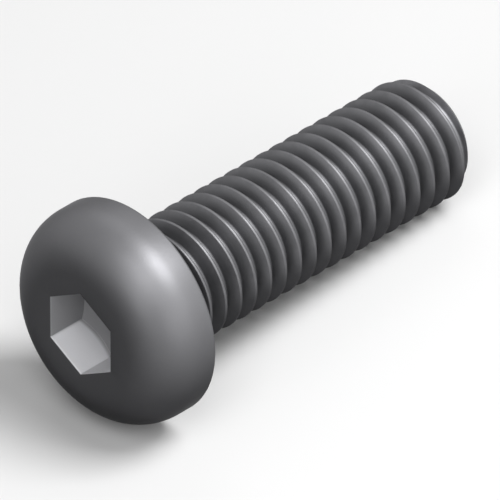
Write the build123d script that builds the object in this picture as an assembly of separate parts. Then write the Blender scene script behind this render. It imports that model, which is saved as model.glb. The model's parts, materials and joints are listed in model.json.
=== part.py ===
from build123d import *

import os
from math import asin, atan2, ceil, cos, degrees, floor, hypot, radians, tan

# A button head socket screw with a metric coarse thread, M8 x 25, in one piece.
#
# It is made on its own axis, Z, with the bearing face under the head at z = 0, the head
# below that face and the shank above it. Then it is laid down the way it comes to rest on
# a table, on the rim of its head and on the last crest of its thread, with the tip towards
# +X. The origin stays at the centre of the bearing face.
# Lengths are in millimetres and angles in degrees.

# Head
head_diameter = 14.0
head_height = 4.4
dome_radius = 3.2  # the quarter round from the flat crown to the straight rim
rim_round = 0.2  # the edge between the rim and the bearing face

# Hexagon socket in the crown
socket_width = 5.0  # across the flats
socket_depth = 2.6  # from the crown to the ends of the six corners
socket_point = 120.0  # the cone under them that the forming punch leaves

# Shank
shank_diameter = 8.0
shank_length = 25.0  # from the bearing face to the tip
neck_length = 1.6  # the plain part under the head
neck_round = 0.4  # the fillet between the neck and the bearing face
runout_slope = 30.0  # the cone on which the thread fades out towards the neck
tip_chamfer = 0.8  # at 45 degrees

# Thread, right-handed
thread_pitch = 1.25
thread_angle = 60.0  # between the two flanks of a groove
thread_turn = 240.0  # how far the thread is turned about the axis
crest_step = 0.025  # how far the crests lie under the surface of the neck

# The basic profile of a metric thread: an eighth of the pitch is the flat of a crest, and a
# quarter of it is the flat of a root
crest_flat = thread_pitch / 8
root_flat = thread_pitch / 4
flank_length = (thread_pitch - crest_flat - root_flat) / 2  # along the axis
thread_depth = flank_length / tan(radians(thread_angle / 2))

head_radius = head_diameter / 2
neck_radius = shank_diameter / 2
crest_radius = neck_radius - crest_step
root_radius = crest_radius - thread_depth


def turned(*edges):
    """The solid that an outline in radius and height makes about the axis."""
    return revolve(Plane.XZ * make_face(edges), Axis.Z)


def head_and_neck():
    """The turned head and neck, which end inside the thread in the run-out's cone."""
    crown_edge = (head_radius - dome_radius, -head_height)
    dome_foot = (head_radius, dome_radius - head_height)
    rim_foot = (head_radius, -rim_round)
    bearing_edge = (head_radius - rim_round, 0)
    neck_corner = (neck_radius + neck_round, 0)
    neck_foot = (neck_radius, neck_round)
    neck_end = (neck_radius, neck_length)
    cone_point = (0, neck_length + neck_radius / tan(radians(runout_slope)))
    return turned(
        Line((0, -head_height), crown_edge),
        TangentArc(crown_edge, dome_foot, tangent=(1, 0)),
        Line(dome_foot, rim_foot),
        TangentArc(rim_foot, bearing_edge, tangent=(0, 1)),
        Line(bearing_edge, neck_corner),
        TangentArc(neck_corner, neck_foot, tangent=(-1, 0)),
        Polyline(neck_foot, neck_end, cone_point, (0, -head_height)),
    )


def threaded_rod():
    """The rod with the thread all along it, from inside the head to past the tip.

    The surface of each turn is four strips between helices: a flank, the crest, a flank
    and the root. A stair, which is a turn of helicoid, and a half section close each end.
    """
    half_crest = crest_flat / 2
    low = -half_crest - flank_length
    outline = [
        (root_radius, low),
        (crest_radius, -half_crest),
        (crest_radius, half_crest),
        (root_radius, half_crest + flank_length),
        (root_radius, low + thread_pitch),
    ]
    helices = [
        Edge.make_helix(thread_pitch, thread_pitch, radius, center=(0, 0, height))
        for radius, height in outline
    ]
    strips = [Face.make_surface_from_curves(*pair) for pair in zip(helices, helices[1:])]
    axis = Edge.make_line((0, 0, low), (0, 0, low + thread_pitch))
    stair = Face.make_surface_from_curves(axis, helices[0])
    corners = [(radius, 0, height) for radius, height in outline]
    half_section = Face(Wire.make_polygon([axis @ 0, *corners, axis @ 1]))

    first_turn = -1
    past_turn = ceil(shank_length / thread_pitch) + 1
    faces = [
        Pos(0, 0, turn * thread_pitch) * strip
        for turn in range(first_turn, past_turn)
        for strip in strips
    ]
    faces += [
        Pos(0, 0, turn * thread_pitch) * end
        for turn in (first_turn, past_turn)
        for end in (stair, half_section)
    ]
    return Rot(0, 0, thread_turn) * Solid(Shell(faces))


def past_the_tip():
    """What the chamfered tip leaves of the rod."""
    clear = 3 * thread_pitch
    outside = crest_radius + clear
    tip = (0, shank_length)
    return turned(
        Polyline(
            tip,
            (crest_radius - tip_chamfer, shank_length),
            (outside, shank_length - tip_chamfer - clear),
            (outside, shank_length + clear),
            (0, shank_length + clear),
            tip,
        )
    )


def socket():
    """The hexagon hole, whose flats run down to the cone at its bottom."""
    corner_radius = socket_width / 2 / cos(radians(30))
    cone_height = corner_radius / tan(radians(socket_point / 2))
    flats = extrude(RegularPolygon(corner_radius, 6), socket_depth + cone_height)
    punch = turned(
        Polyline(
            (0, 0),
            (corner_radius, 0),
            (corner_radius, socket_depth),
            (0, socket_depth + cone_height),
            (0, 0),
        )
    )
    return Pos(0, 0, -head_height) * (flats & punch)


def lying_slope():
    """How far the axis leans when the rim and the last crest rest on a table."""
    chamfer_start = shank_length - tip_chamfer
    first_crest = -thread_pitch * thread_turn / 360
    turns = floor((chamfer_start + crest_flat / 2 - first_crest) / thread_pitch)
    last_crest = first_crest + turns * thread_pitch
    along = min(last_crest + crest_flat / 2, chamfer_start) + rim_round
    drop = head_radius - rim_round - crest_radius
    return degrees(atan2(drop, along) + asin(rim_round / hypot(along, drop)))


def screw():
    threaded = threaded_rod() - past_the_tip()
    upright = head_and_neck() + threaded - socket()
    return Rot(0, 90 + lying_slope(), 0) * upright


os.makedirs("parts", exist_ok=True)
export_step(screw(), "parts/screw.step")
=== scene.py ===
# %% [markdown]
# # A button head socket screw on a table
#
# The screw is one piece of steel, but three processes shaped it. A die forged the low dome of
# the head, a six-sided punch pressed the socket into it, and two grooved plates rolled the
# thread onto the shank. This lesson takes them one by one, each with the tool in Blender that
# comes closest to the process, and then blackens, lights and photographs the screw.

# %% Load the fixed frame
import json
from math import atan2, cos, floor, pi, radians, sin, sqrt, tan

import bpy
from mathutils import Matrix, Vector


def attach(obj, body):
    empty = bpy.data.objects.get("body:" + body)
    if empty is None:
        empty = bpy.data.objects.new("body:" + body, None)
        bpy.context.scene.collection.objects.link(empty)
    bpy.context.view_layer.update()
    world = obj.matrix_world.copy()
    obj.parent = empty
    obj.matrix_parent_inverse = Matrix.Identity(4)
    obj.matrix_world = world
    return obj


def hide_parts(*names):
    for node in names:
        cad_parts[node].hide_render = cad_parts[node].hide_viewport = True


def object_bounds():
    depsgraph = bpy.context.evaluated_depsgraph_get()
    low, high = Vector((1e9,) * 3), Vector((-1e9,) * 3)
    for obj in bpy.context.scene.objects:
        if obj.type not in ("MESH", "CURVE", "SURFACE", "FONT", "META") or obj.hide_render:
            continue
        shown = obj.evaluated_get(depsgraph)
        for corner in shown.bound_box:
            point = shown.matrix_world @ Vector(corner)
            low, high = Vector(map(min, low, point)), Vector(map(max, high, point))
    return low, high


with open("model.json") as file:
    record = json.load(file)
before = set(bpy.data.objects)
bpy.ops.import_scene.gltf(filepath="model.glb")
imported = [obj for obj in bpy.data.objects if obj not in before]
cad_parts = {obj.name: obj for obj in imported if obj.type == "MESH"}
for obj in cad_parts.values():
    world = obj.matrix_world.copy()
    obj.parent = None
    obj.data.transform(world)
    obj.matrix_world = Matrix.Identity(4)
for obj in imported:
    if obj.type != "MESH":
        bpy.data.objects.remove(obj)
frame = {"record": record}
cad_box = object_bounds()
cad_size = cad_box[1] - cad_box[0]
print("CAD box in mm:", [round(side * 1000, 2) for side in cad_size])

# %% [markdown]
# ## The sizes
#
# Blender works in metres and a screw is measured in millimetres, so one factor, mm, stands
# between them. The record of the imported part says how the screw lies, how thick its neck and
# its thread are, and where the mouth of the socket is. The other sizes are those of a
# standard M8 button head screw.

# %% Sizes of the screw
mm = 0.001
mounts = {mount["name"]: mount for mount in frame["record"]["mounts"]}
along = Vector(mounts["under_head_seat"]["axis"]).normalized()
neck_radius = mounts["neck"]["dims"]["r_mm"] * mm
crest_radius = mounts["thread"]["dims"]["r_mm"] * mm
head_height = Vector(mounts["hex_socket"]["pos_m"]).length
socket_depth = mounts["hex_socket"]["dims"]["length_mm"] * mm
head_radius = cad_size.y / 2

dome_radius = 3.2 * mm
rim_round = 0.2 * mm
socket_width = 5.0 * mm
socket_point = radians(120)
neck_length = 1.6 * mm
neck_round = 0.4 * mm
runout_slope = radians(30)
shank_length = 25.0 * mm
tip_chamfer = 0.8 * mm
pitch = 1.25 * mm
flank_lean = radians(30)
thread_turn = radians(240)
print(f"head {2 * head_radius / mm:.1f} x {head_height / mm:.1f} mm, thread {2 * crest_radius / mm:.2f} mm")

# %% [markdown]
# ## Drawing an outline
#
# A turned shape needs only half of its outline, drawn in the XZ plane with the screw's axis
# on Z. By hand, one vertex does it: it is extruded for a straight stretch and spun for a
# round one. A plane that is merged at its centre gives that vertex. In this plane a positive
# angle turns from +X towards +Z.

# %% Tools for an outline
SEGMENTS = 144
WELD = 0.0001 * mm


def start_outline(name, radius, height):
    """A new mesh of one selected vertex, in edit mode."""
    bpy.ops.object.select_all(action="DESELECT")
    bpy.ops.mesh.primitive_plane_add(size=mm)
    piece = bpy.context.object
    piece.name = name
    bpy.ops.object.mode_set(mode="EDIT")
    bpy.ops.mesh.select_all(action="SELECT")
    bpy.ops.mesh.merge(type="CENTER")
    bpy.ops.transform.translate(value=(radius, 0, height))
    return piece


def straight(radius, height):
    """Extrudes the end of the outline by that much outwards and upwards."""
    bpy.ops.mesh.extrude_region_move(TRANSFORM_OT_translate={"value": (radius, 0, height)})


def bend(angle, radius, height, steps):
    """Spins the end of the outline about a centre at that radius and height."""
    bpy.ops.mesh.spin(steps=steps, angle=angle, center=(radius, 0, height), axis=(0, 1, 0))


def close_up(piece):
    """Welds what is double in a mesh and turns all of its faces outwards."""
    bpy.ops.object.mode_set(mode="EDIT")
    bpy.ops.mesh.select_all(action="SELECT")
    bpy.ops.mesh.remove_doubles(threshold=WELD)
    bpy.ops.mesh.normals_make_consistent(inside=False)
    bpy.ops.mesh.select_all(action="DESELECT")
    bpy.ops.mesh.select_non_manifold()
    bpy.ops.object.mode_set(mode="OBJECT")
    open_edges = sum(edge.select for edge in piece.data.edges)
    print(f"{piece.name}: {len(piece.data.polygons)} faces, {open_edges} open edges")


def turn(piece):
    """Spins the outline once round the axis into a closed solid."""
    bpy.ops.mesh.select_all(action="SELECT")
    bpy.ops.mesh.spin(steps=SEGMENTS, angle=2 * pi, center=(0, 0, 0), axis=(0, 0, 1))
    close_up(piece)


# %% [markdown]
# ## The head and the neck
#
# The screw is made standing on its crown: the flat crown is at the bottom, the face that
# bears on a plate is at height 0, and the neck rises from it. A sphere cut by a plane would
# be a quicker dome, but the real one is a flat crown with a quarter round, and only an
# outline gives that. The cone that closes the neck is where the thread will fade out.

# %% Turn the head and the neck
screw = start_outline("screw", 0, -head_height)
crown_radius = head_radius - dome_radius
bearing_radius = head_radius - rim_round
straight(crown_radius, 0)
bend(pi / 2, crown_radius, dome_radius - head_height, steps=28)
straight(0, head_height - dome_radius - rim_round)
bend(pi / 2, bearing_radius, -rim_round, steps=6)
straight(neck_radius + neck_round - bearing_radius, 0)
bend(-pi / 2, neck_radius + neck_round, neck_round, steps=8)
straight(0, neck_length - neck_round)
straight(-neck_radius, neck_radius / tan(runout_slope))
turn(screw)

# %% [markdown]
# ## One groove of the thread
#
# A thread is a groove that climbs by its pitch on every turn, so its outline is one groove,
# from the middle of a crest to the middle of the next. The flanks lean 30 degrees to either
# side. A rolled thread has no sharp edges: its root is an arc that touches both flanks, and
# its crests are a little round, which is where they catch the light.

# %% Draw the groove
CREST_ROUND = 0.09 * mm
flank_turn = pi / 2 - flank_lean
crest_side = pitch / 16 - CREST_ROUND * tan(flank_turn / 2)
crest_centre = crest_radius - CREST_ROUND
root_round = pitch / 8 / cos(flank_lean)
sharp_root = crest_radius - (pitch / 2 - pitch / 16) / tan(flank_lean)
root_centre = sharp_root + root_round / sin(flank_lean)
flank_top = crest_centre + CREST_ROUND * cos(flank_turn)
flank_foot = root_centre - root_round * cos(flank_turn)
flank_start = crest_side + CREST_ROUND * sin(flank_turn)
flank_end = pitch / 2 - root_round * sin(flank_turn)

rod = start_outline("thread", crest_radius, 0)
straight(0, crest_side)
bend(flank_turn, crest_centre, crest_side, steps=4)
straight(flank_foot - flank_top, flank_end - flank_start)
bend(-2 * flank_turn, root_centre, pitch / 2, steps=10)
straight(flank_top - flank_foot, flank_end - flank_start)
bend(flank_turn, crest_centre, pitch - crest_side, steps=4)
straight(0, crest_side)
print(f"the groove is {(crest_radius - root_centre + root_round) / mm:.3f} mm deep")

# %% [markdown]
# ## Winding the thread
#
# The Screw modifier repeats the groove round the axis and lifts it by the pitch on each turn.
# A grid pushed in and out by a formula would look alike, but here the edges of the mesh run
# along the crests and the root. The first crest starts so low that the thread is whole where
# it is cut off square, inside the neck and just past the tip.

# %% Wind the thread and cut its ends
PAST_TIP = 0.2 * mm
first_crest = -pitch * thread_turn / (2 * pi)
rod_start = neck_length / 2
rod_end = shank_length + PAST_TIP
bpy.ops.mesh.select_all(action="SELECT")
bpy.ops.transform.translate(value=(0, 0, first_crest))
bpy.ops.object.mode_set(mode="OBJECT")
bpy.ops.object.modifier_add(type="SCREW")
winding = rod.modifiers[-1]
winding.screw_offset = pitch
winding.iterations = 1 + floor((rod_end - first_crest) / pitch)
winding.steps = winding.render_steps = SEGMENTS
print("turns of the thread:", winding.iterations)
bpy.ops.object.modifier_apply(modifier=winding.name)

bpy.ops.object.mode_set(mode="EDIT")
bpy.ops.mesh.select_all(action="SELECT")
bpy.ops.mesh.remove_doubles(threshold=WELD)
for height, outwards in ((rod_start, -1), (rod_end, 1)):
    bpy.ops.mesh.select_all(action="SELECT")
    bpy.ops.mesh.bisect(
        plane_co=(0, 0, height),
        plane_no=(0, 0, outwards),
        clear_outer=True,
        use_fill=True,
        threshold=WELD,
    )
close_up(rod)


# %% [markdown]
# ## Cutting and joining
#
# Where a tool meets a thread, the edge between them is a curve that nobody would draw by
# hand. A Boolean modifier finds it: it keeps what two solids share, takes one from the other
# or joins them. Both have to be closed, which the count of open edges above shows.

# %% A tool for Booleans
def combine(piece, tool, operation):
    """Applies a Boolean with the tool to the piece, and removes the tool."""
    bpy.ops.object.select_all(action="DESELECT")
    bpy.context.view_layer.objects.active = piece
    piece.select_set(True)
    bpy.ops.object.modifier_add(type="BOOLEAN")
    boolean = piece.modifiers[-1]
    boolean.operation = operation
    boolean.solver = "EXACT"
    boolean.object = tool
    bpy.ops.object.modifier_apply(modifier=boolean.name)
    print(f"{piece.name} {operation} {tool.name}: {len(piece.data.polygons)} faces")
    bpy.data.objects.remove(tool)


# %% [markdown]
# ## The tip
#
# The end of the shank is chamfered so that it finds its way into a nut. The shape that it may
# fill is a turned blank with that chamfer, and what the rod shares with the blank is the
# finished tip. A small round on the blank's end softens the edge of the end face.

# %% Chamfer the tip and join the thread to the neck
TIP_ROUND = 0.12 * mm
CLEAR = 1 * mm
end_radius = crest_radius - tip_chamfer
corner = TIP_ROUND * tan(pi / 8)
slope = CLEAR + tip_chamfer - corner * sin(pi / 4)

blank = start_outline("blank", 0, 0)
straight(crest_radius + CLEAR, 0)
straight(0, shank_length - tip_chamfer - CLEAR)
straight(-slope, slope)
bend(pi / 4, end_radius - corner, shank_length - TIP_ROUND, steps=4)
straight(corner - end_radius, 0)
turn(blank)
combine(rod, blank, "INTERSECT")
combine(screw, rod, "UNION")

# %% [markdown]
# ## The point of the punch
#
# The punch that presses the socket ends in a cone, so that the steel flows aside under it.
# The cone is turned like the head, from a wide foot outside the crown to its point. The point
# is slightly round, as on a worn punch, and then its pole doesn't shade as a star.

# %% Turn the cone
POINT_ROUND = 0.4 * mm
half_point = socket_point / 2
corner_radius = socket_width / sqrt(3)
point_height = socket_depth + corner_radius / tan(half_point) - head_height
foot_height = -head_height - CLEAR
foot_radius = (point_height - foot_height) * tan(half_point)
point_side = POINT_ROUND / tan(half_point)
side_end = point_height - point_side * cos(half_point)

punch = start_outline("cone", 0, foot_height)
straight(foot_radius, 0)
straight(point_side * sin(half_point) - foot_radius, side_end - foot_height)
bend(pi / 2 - half_point, 0, point_height - POINT_ROUND / sin(half_point), steps=6)
turn(punch)

# %% [markdown]
# ## The six flats of the punch
#
# The flats are a six-sided cylinder, turned until two of its corners lie in the XZ plane.
# What it shares with the cone ends in six arcs, as the walls of a real socket do. Its lower
# end widens in steps where it leaves the crown, each an extrude and a resize, so that the
# mouth of the socket gets a soft edge. The last step runs on at a slant through the crown,
# so that no two faces lie in one plane.

# %% Shape the flats
MOUTH_ROUND = 0.07 * mm
MOUTH_ANGLES = (22, 45, 66)
RUN_ON = 0.25 * mm
RUN_ON_ANGLE = 72
FLATS_LENGTH = 6 * mm
FACING_DOWN = -0.9
flats_foot = MOUTH_ROUND - head_height
bpy.ops.object.select_all(action="DESELECT")
bpy.ops.mesh.primitive_cylinder_add(
    vertices=6,
    radius=corner_radius,
    depth=FLATS_LENGTH,
    location=(0, 0, flats_foot + FLATS_LENGTH / 2),
    rotation=(0, 0, radians(30)),
)
flats = bpy.context.object
flats.name = "flats"
bpy.ops.object.transform_apply(location=True, rotation=True)
bpy.ops.object.mode_set(mode="EDIT")
bpy.ops.mesh.select_all(action="DESELECT")
bpy.ops.object.mode_set(mode="OBJECT")
for face in flats.data.polygons:
    face.select = face.normal.z < FACING_DOWN
bpy.ops.object.mode_set(mode="EDIT")


def widen(width, next_width, drop):
    """Extrudes the selected end down, and widens it from one width across flats to the next."""
    bpy.ops.mesh.extrude_region_move(TRANSFORM_OT_translate={"value": (0, 0, -drop)})
    factor = next_width / width
    bpy.ops.transform.resize(value=(factor, factor, 1), center_override=(0, 0, 0))


width = socket_width
depth = 0
for angle in [radians(degrees) for degrees in MOUTH_ANGLES]:
    next_width = socket_width + 2 * MOUTH_ROUND * (1 - cos(angle))
    widen(width, next_width, MOUTH_ROUND * sin(angle) - depth)
    width, depth = next_width, MOUTH_ROUND * sin(angle)
widen(width, width + 2 * RUN_ON * tan(radians(RUN_ON_ANGLE)), RUN_ON)
close_up(flats)

# %% Press the socket
combine(punch, flats, "INTERSECT")
combine(screw, punch, "DIFFERENCE")
close_up(screw)

# %% [markdown]
# ## Laying the screw down
#
# A screw doesn't stand on its dome. It rolls over and comes to rest on its rim and on the
# last crest of its thread, with its axis a few degrees off the table, and the record holds
# that direction. The object is turned to it about Y, and the turn is applied so that the
# place is in the mesh. Edges sharper than 32 degrees stay crisp. Weighted normals let the
# flat crown and the walls of the socket keep their flatness beside their small rounds.

# %% Turn the screw to its rest and smooth it
CRISP_EDGE = radians(32)
screw.rotation_euler = (0, atan2(along.x, along.z), 0)
bpy.ops.object.transform_apply(location=False, rotation=True, scale=False)
bpy.ops.object.shade_smooth_by_angle(angle=CRISP_EDGE)
bpy.ops.object.modifier_add(type="WEIGHTED_NORMAL")
weighting = screw.modifiers[-1]
weighting.keep_sharp = True
bpy.ops.object.modifier_apply(modifier=weighting.name)

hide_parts("screw")
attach(screw, "root")
triangles = sum(len(face.vertices) - 2 for face in screw.data.polygons)
lowest = min(vertex.co.z for vertex in screw.data.vertices)
print(f"{triangles} triangles, lowest point {lowest / mm:.3f} mm, the CAD's {cad_box[0].z / mm:.3f} mm")


# %% [markdown]
# ## Shader maths in plain Python
#
# A finish is a sum of masks, and a mask is arithmetic on a place. Wired by hand, each sum is
# a Math node. This small class holds one output of a node, and arithmetic on it adds the
# Math nodes, so that a mask can be written as a formula.

# %% A class for what varies over a surface
class Field:
    """A value that varies over a surface, as one output of a node."""

    def __init__(self, socket):
        self.socket = socket

    def node(self, kind, settings=None, inputs=None, output=0):
        """Adds a node to the same tree and returns one of its outputs."""
        node = self.socket.id_data.nodes.new("ShaderNode" + kind)
        for name, setting in (settings or {}).items():
            setattr(node, name, setting)
        for name, value in (inputs or {}).items():
            feed(node.inputs[name], value)
        return Field(node.outputs[output])

    def math(self, operation, first, second=0.0):
        return self.node("Math", {"operation": operation}, {0: first, 1: second})

    def __add__(self, other):
        return self.math("ADD", self, other)

    def __sub__(self, other):
        return self.math("SUBTRACT", self, other)

    def __rsub__(self, other):
        return self.math("SUBTRACT", other, self)

    def __mul__(self, other):
        return self.math("MULTIPLY", self, other)

    def __abs__(self):
        return self.math("ABSOLUTE", self)

    __radd__ = __add__
    __rmul__ = __mul__

    def larger(self, other):
        return self.math("MAXIMUM", self, other)

    def root(self):
        return self.math("SQRT", self)

    def rise(self, start, end):
        """0 up to start, 1 from end on, and a smooth rise between them."""
        settings = {"interpolation_type": "SMOOTHSTEP"}
        return self.node("MapRange", settings, {"Value": self, "From Min": start, "From Max": end})

    def between(self, low, high):
        """The low value where this field is 0, and the high one where it is 1."""
        return low + (high - low) * self

    def colour(self, first, second):
        """The first colour where this field is 0, and the second where it is 1."""
        inputs = {"Factor": self, "A": first, "B": second}
        return self.node("Mix", {"data_type": "RGBA"}, inputs, "Result")

    def axes(self):
        """The X, Y and Z of a vector."""
        split = self.node("SeparateXYZ", inputs={"Vector": self})
        return [Field(socket) for socket in split.socket.node.outputs]


def feed(socket, value):
    """Links a field to a socket, or sets the socket to a plain value."""
    if isinstance(value, Field):
        socket.id_data.links.new(value.socket, socket)
    else:
        socket.default_value = value


def new_material(name, **values):
    """A material with these plain values on its shader, and that shader."""
    material = bpy.data.materials.new(name)
    material.use_nodes = True
    shader = material.node_tree.nodes["Principled BSDF"]
    for socket, value in values.items():
        shader.inputs[socket.replace("_", " ")].default_value = value
    return material, shader


# %% [markdown]
# ## Places on the screw
#
# Black oxide is a thin, satin, nearly black layer. What is worn on it, and where light and shade
# are painted on it, depends on the place, so the place is worked out in the screw's own axes: a
# Mapping node turns Object coordinates until X is the screw's axis, and scales them to
# millimetres. From there a point has a radius, as on a turned part, and a distance from the axis
# measured as on a hexagon, which is the largest of its distances across the three pairs of flats.

# %% Measure a point in the screw's own axes
EDGE_TINT = (0.5, 0.5, 0.5, 1)
steel, steel_shader = new_material("black oxide on steel", Specular_Tint=EDGE_TINT)
coordinates = steel.node_tree.nodes.new("ShaderNodeTexCoord")
turned_back = {"Rotation": (0, atan2(along.z, along.x), 0), "Scale": (1 / mm, 1 / mm, 1 / mm)}
place = Field(coordinates.outputs["Object"])
place = place.node("Mapping", inputs={"Vector": place, **turned_back})
axial, sideways, upwards = place.axes()
radius = (sideways * sideways + upwards * upwards).root()
lean_side, lean_up = sideways * sin(radians(30)), upwards * cos(radians(30))
hexagon = abs(sideways).larger(abs(lean_side + lean_up)).larger(abs(lean_side - lean_up))

# %% [markdown]
# ## Worn places and painted light
#
# The oxide is thinner and greyer where a die or a neighbour rubs: on the rolled thread, more so
# on its crests and round its tip. The plain neck stays dark, and so does the thread's underside,
# which is painted shade. The upper side of the dome's shoulder is paler as a painted highlight,
# where the key light falls. A mask is 1 where it holds and 0 elsewhere, with a smooth border,
# and masks are multiplied where both have to hold. The borders are places and distances in
# millimetres.

# %% Mask the head, the thread and the tip
UNDER_HEAD = (-0.1, 0.3)
UPPER_SIDE = (-3.5, 2.5)
# where the thread's wear gives way to painted shade on its underside
UNDERSIDE_SHADE = (-1.4, 1.0)
RUN_IN = 1.2
CREST_BORDER = (0.45, 0.02)
TIP_BORDER = 0.15
neck_end = neck_length / mm
crest = crest_radius / mm
chamfer_start = (shank_length - tip_chamfer) / mm
end_edge = end_radius / mm

on_head = 1 - axial.rise(*UNDER_HEAD)
# painted highlight: the upper side of the dome's shoulder, where the key light falls
lit_shoulder = radius.rise(crown_radius / mm, head_radius / mm) * upwards.rise(*UPPER_SIDE) * on_head
# the thread is worn greyer, but its underside is left dark as painted shade; the crests follow this mask
thread_wear_shaded_under = axial.rise(neck_end, neck_end + RUN_IN) * upwards.rise(*UNDERSIDE_SHADE)
on_crest = radius.rise(crest - CREST_BORDER[0], crest - CREST_BORDER[1]) * thread_wear_shaded_under
past_chamfer = axial.rise(chamfer_start - TIP_BORDER, chamfer_start + TIP_BORDER)
on_chamfer = past_chamfer * radius.rise(end_edge - TIP_BORDER, end_edge)

# %% [markdown]
# ## The socket's film, and painted light in it
#
# The walls of the socket have a matt grey film in place of the shine. The two that face up are
# painted pale, as painted light where light falls into the socket, down to a little above the
# cone, so that the corner at the cone keeps a painted shade, and one of them is painted lighter
# than the other. The mask of the socket ends on the small round of its mouth, and the painted
# light starts at the two corners at the sides.

# %% Mask the socket and its painted light
CORNER_BORDER = (0.04, 0.01)
PAINTED_WALL_LIGHT_BORDER = 0.08
# how far above the cone's corner the painted shade reaches
CORNER_SHADE = (0.05, 0.35)
wall = socket_width / 2 / mm
mouth_edge = wall + MOUTH_ROUND / mm * (1 - cos(radians(MOUTH_ANGLES[-1])))
side_corner = -corner_radius / 2 / mm

in_socket = (1 - hexagon.rise(wall, mouth_edge)) * on_head
on_wall = hexagon.rise(wall - CORNER_BORDER[0], wall - CORNER_BORDER[1])
# painted light on the two walls that face up, more on one side, with painted shade by the cone
facing_up = 1 - upwards.rise(side_corner - PAINTED_WALL_LIGHT_BORDER, side_corner + PAINTED_WALL_LIGHT_BORDER)
lighter_side = sideways.rise(-PAINTED_WALL_LIGHT_BORDER, PAINTED_WALL_LIGHT_BORDER)
over_cone = (point_height / mm - radius * (1 / tan(half_point)) - axial).rise(*CORNER_SHADE)

# %% [markdown]
# ## The black finish
#
# Two noises break the finish up: clouds a millimetre or so across, as the oil dries into the
# oxide, and a fine grain, which the die leaves on a forged face. Both change the gloss a
# little, the clouds make the rubbed places patchy, and the grain also stands up as a bump of a
# few thousandths of a millimetre. The film in the socket is no metal and is rougher. The
# amounts are small, because the photograph shows a new screw.

# %% Blacken the steel
OXIDE = (0.057, 0.057, 0.06, 1)
# pale steel, for the worn places and for the painted highlight on the shoulder
BARE_AND_LIT = (0.55, 0.55, 0.575, 1)
FILM = (0.3, 0.3, 0.31, 1)
# the pale grey of the painted light on the socket walls
PAINTED_WALL_LIGHT = (0.92, 0.92, 0.95, 1)
THREAD_WEAR = 0.09
CREST_WEAR = 0.13
CHAMFER_WEAR = 0.25
# how much paler the painted highlight makes the upper side of the shoulder
SHOULDER_PAINTED_LIGHT = 0.21
PATCH_BORDER = (0.2, 0.7)
LEAST_RUBBED = 0.5
# how much painted light is left by the cone's corner, and on the less lit wall
LEAST_PAINTED_WALL_LIGHT = (0.3, 0.7)
CLOUDING = 0.02
CLOUD_GLOSS = 0.1
GRAIN_GLOSS = 0.06
GRAIN_HEIGHT = 0.003 * mm
SATIN = 0.46
DULL = 0.73
CLOUD_NOISE = {"Scale": 0.9, "Detail": 4, "Roughness": 0.6}
GRAIN_NOISE = {"Scale": 6, "Detail": 3, "Roughness": 0.55}

clouds = place.node("TexNoise", inputs={"Vector": place, **CLOUD_NOISE})
grain = place.node("TexNoise", inputs={"Vector": place, **GRAIN_NOISE})
patches = clouds.rise(*PATCH_BORDER).between(LEAST_RUBBED, 1)
rubbed = (on_crest * CREST_WEAR).larger(on_chamfer * CHAMFER_WEAR) * patches
# worn places, plus the painted highlight on the upper shoulder
wear_and_painted_light = rubbed + thread_wear_shaded_under * THREAD_WEAR + lit_shoulder * SHOULDER_PAINTED_LIGHT
# painted light on the walls, lower by the cone's corner as painted shade
painted_wall_light = over_cone.between(LEAST_PAINTED_WALL_LIGHT[0], 1) * lighter_side.between(LEAST_PAINTED_WALL_LIGHT[1], 1)
skin = (wear_and_painted_light + (clouds - 0.5) * CLOUDING).colour(OXIDE, BARE_AND_LIT)
# the matt film, painted paler where light falls on the walls that face up
film_and_painted_light = (on_wall * facing_up * painted_wall_light).colour(FILM, PAINTED_WALL_LIGHT)
gloss_change = (clouds - 0.5) * CLOUD_GLOSS + (grain - 0.5) * GRAIN_GLOSS

feed(steel_shader.inputs["Base Color"], in_socket.colour(skin, film_and_painted_light))
feed(steel_shader.inputs["Metallic"], 1 - in_socket)
feed(steel_shader.inputs["Roughness"], in_socket.between(SATIN, DULL) + gloss_change)
bump = place.node("Bump", inputs={"Height": grain, "Distance": GRAIN_HEIGHT, "Strength": 1})
feed(steel_shader.inputs["Normal"], bump)
screw.data.materials.append(steel)
print("nodes in the steel:", len(steel.node_tree.nodes))

# %% [markdown]
# ## The table
#
# The table is plain pale paper, a large plane at the height of the screw's lowest point.
# Matt paper has no shine of its own, so its specular level is zero.

# %% Lay the paper
TABLE_WIDTH = 6
PAPER = (0.78, 0.78, 0.78, 1)
bpy.ops.object.select_all(action="DESELECT")
bpy.ops.mesh.primitive_plane_add(size=TABLE_WIDTH, location=(0, 0, cad_box[0].z))
table = bpy.context.object
table.name = "table"
paper, paper_shader = new_material("pale paper", Roughness=1, Specular_IOR_Level=0)
feed(paper_shader.inputs["Base Color"], PAPER)
table.data.materials.append(paper)

# %% [markdown]
# ## The camera
#
# The picture is an isometric one: the camera sees the screw's axis, the way across it and
# the way up from it at equal angles, and nothing gets smaller with distance. A very long
# lens from far away comes within two pixels of that. The camera's own axes are sums of the
# screw's, and two measures of the picture, its scale and the pixel where the centre of the
# bearing face lies, give its place.

# %% Place the camera
PICTURE = 500
PIXELS_PER_MM = 16.83
SEAT_PIXEL = (133.7, 303.6)
LENS = 1500
SENSOR = 36
NEAREST, FARTHEST = 0.1, 10
pixel = mm / PIXELS_PER_MM
across = Vector((0, 1, 0))
upward = along.cross(across)
right = (along - across) / sqrt(2)
top = (along + across + 2 * upward) / sqrt(6)
back = (upward - along - across) / sqrt(3)

middle = along * (shank_length - head_height) / 2
aim = right * (PICTURE / 2 - SEAT_PIXEL[0]) * pixel + top * (SEAT_PIXEL[1] - PICTURE / 2) * pixel
distance = PICTURE * pixel * LENS / SENSOR + middle.dot(back)
bpy.ops.object.camera_add()
camera = bpy.context.object
camera.data.lens = LENS
camera.data.sensor_width = SENSOR
camera.data.clip_start = NEAREST
camera.data.clip_end = FARTHEST
turned_camera = Matrix((right, top, back)).transposed().to_4x4()
camera.matrix_world = Matrix.Translation(aim + back * distance) @ turned_camera
bpy.context.scene.camera = camera
print(f"the camera stands {distance:.2f} m away")


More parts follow.
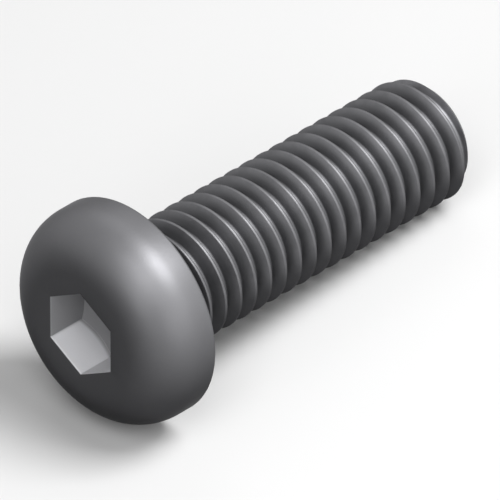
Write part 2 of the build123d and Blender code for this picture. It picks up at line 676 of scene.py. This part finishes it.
# %% [markdown]
# ## The light
#
# Satin steel has no colour of its own to show. It shows what it mirrors, softly, so each
# lamp is a softbox: a surface of a chosen brightness, placed where a part of the screw
# mirrors it. The key is small and bright and makes the highlight on the dome, and a weaker one
# over the tip carries it on to the rim. A long, low one at the side and one at the rear draw
# the rounds of the dome and the flanks of the thread. Two in front of the crown shade it from
# light to dark and shine into the socket. Together they light the paper to a little more than
# the brightness that its colour says, and just short of white.

# %% Hang the softboxes
def softbox(name, direction, distance, width, height, brightness):
    """A flat lamp that faces the screw, with the brightness that a mirror of it shows.

    The direction is a sum of the screw's own axes: along it, across it and up from it.
    """
    way = Matrix((along, across, upward)).transposed() @ Vector(direction).normalized()
    bpy.ops.object.light_add(type="AREA", location=way * distance)
    lamp = bpy.context.object
    lamp.name = name
    lamp.rotation_euler = way.to_track_quat("Z", "Y").to_euler()
    lamp.data.shape = "RECTANGLE"
    lamp.data.size = width
    lamp.data.size_y = height
    lamp.data.energy = brightness * pi * width * height
    print(f"{name}: {lamp.data.energy:.2f} W")


softbox("key", (0.22, -0.43, 0.875), distance=0.4, width=0.175, height=0.175, brightness=13.5)
softbox("side", (0.12, -0.93, 0.34), distance=0.4, width=0.6, height=0.28, brightness=1.1)
softbox("front top", (-0.5, -0.36, 0.79), distance=0.4, width=0.22, height=0.22, brightness=3.5)
softbox("front", (-0.9, -0.25, 0.36), distance=0.4, width=0.2, height=0.2, brightness=1.8)
softbox("rear", (0.36, 0.5, 0.79), distance=0.45, width=0.24, height=0.24, brightness=0.8)
softbox("over the tip", (0.55, -0.35, 0.76), distance=0.4, width=0.2, height=0.2, brightness=1.6)

# %% [markdown]
# ## The room
#
# Around the table everything is white, because the photograph has no surroundings. A white
# room would light the screw from all sides and take the shadows away, so it is white only to
# the camera, in reflections and through glass, and a dim fill for everything else.

# %% Paint the room
FILL = 0.08
room = bpy.data.worlds.new("room")
room.use_nodes = True
bpy.context.scene.world = room
rays = room.node_tree.nodes.new("ShaderNodeLightPath").outputs
seen = Field(rays["Is Camera Ray"]).larger(Field(rays["Is Glossy Ray"]))
seen = seen.larger(Field(rays["Is Transmission Ray"]))
background = room.node_tree.nodes["Background"]
feed(background.inputs["Color"], (1, 1, 1, 1))
feed(background.inputs["Strength"], FILL + seen * (1 - FILL))
bpy.context.scene.view_settings.view_transform = "Standard"
